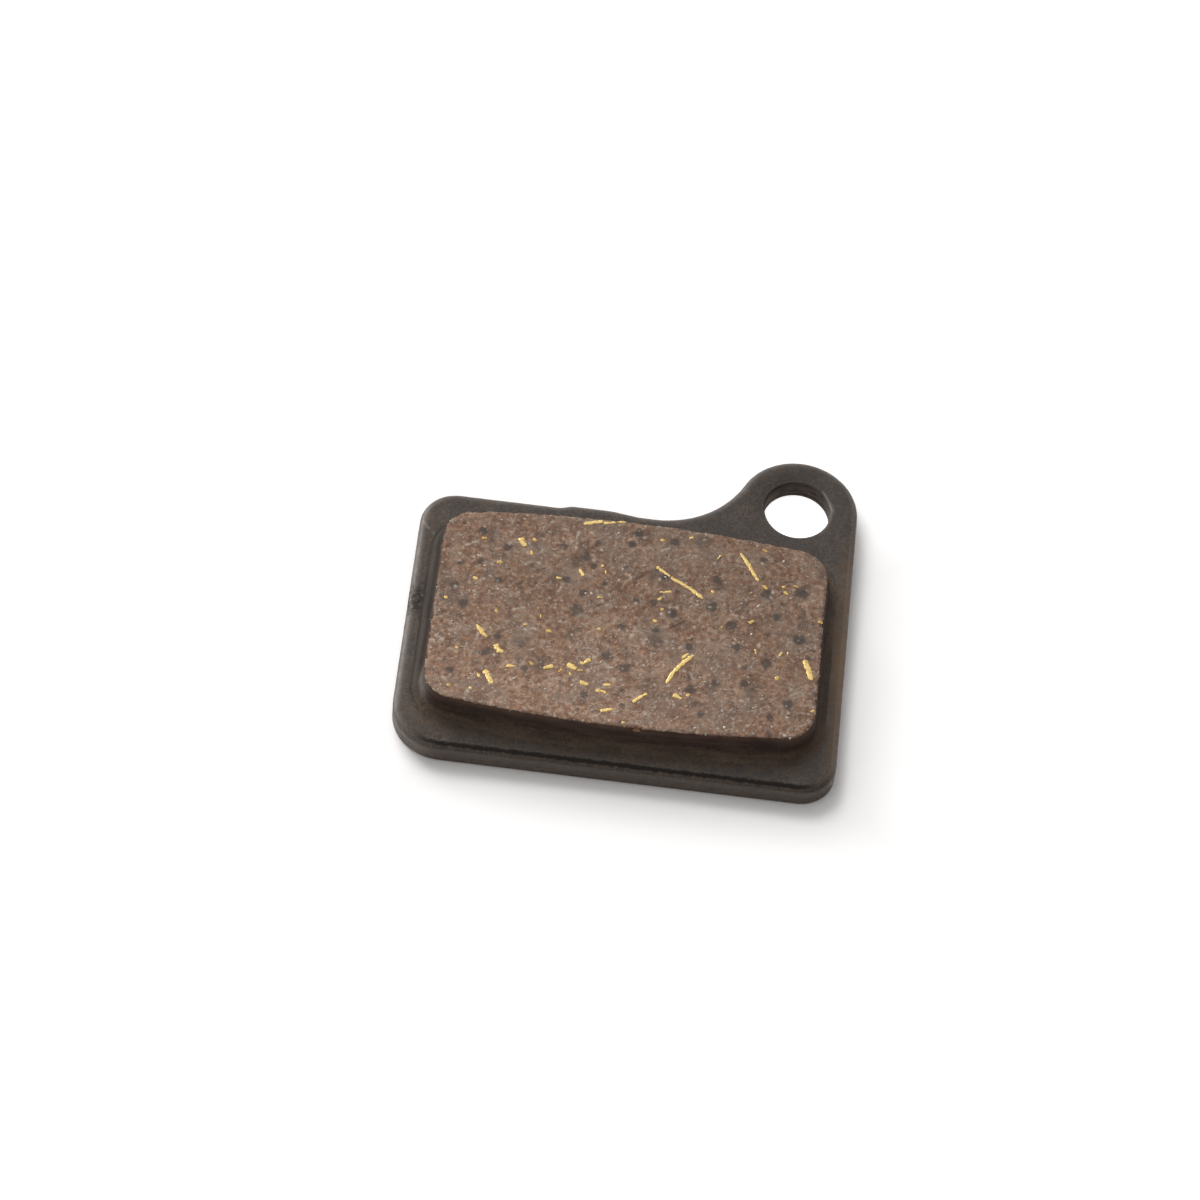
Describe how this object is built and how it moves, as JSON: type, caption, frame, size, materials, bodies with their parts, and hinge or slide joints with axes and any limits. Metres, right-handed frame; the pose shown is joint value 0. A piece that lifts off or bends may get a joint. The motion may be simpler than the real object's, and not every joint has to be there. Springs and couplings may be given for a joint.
{
  "type": "bicycle disc brake pad",
  "caption": "Bicycle disc brake pad: flat stamped backing plate with a corner eyelet for its retaining pin, and a raised friction block with drafted walls bonded to its face.",
  "frame": {"origin": "on the flat back face, under the middle of the friction block, where the piston pushes", "axes": "+X along the pad to the side with the eyelet, +Y across it towards the eyelet, +Z out of the friction face; the pad lies on its back"},
  "size_m": [0.03, 0.0271, 0.0036],
  "materials": {
    "black_coat": "satin black coat on stamped steel, with a fine powdery grain",
    "friction_compound": "matt ground resin compound, brown with grey grains and pale specks; walls coated black",
    "brass_sliver": "cut brass slivers ground flush with the friction face"
  },
  "bodies": {
    "root": {"backing_plate": "black_coat", "friction_block": "friction_compound"}
  },
  "joints": []
}
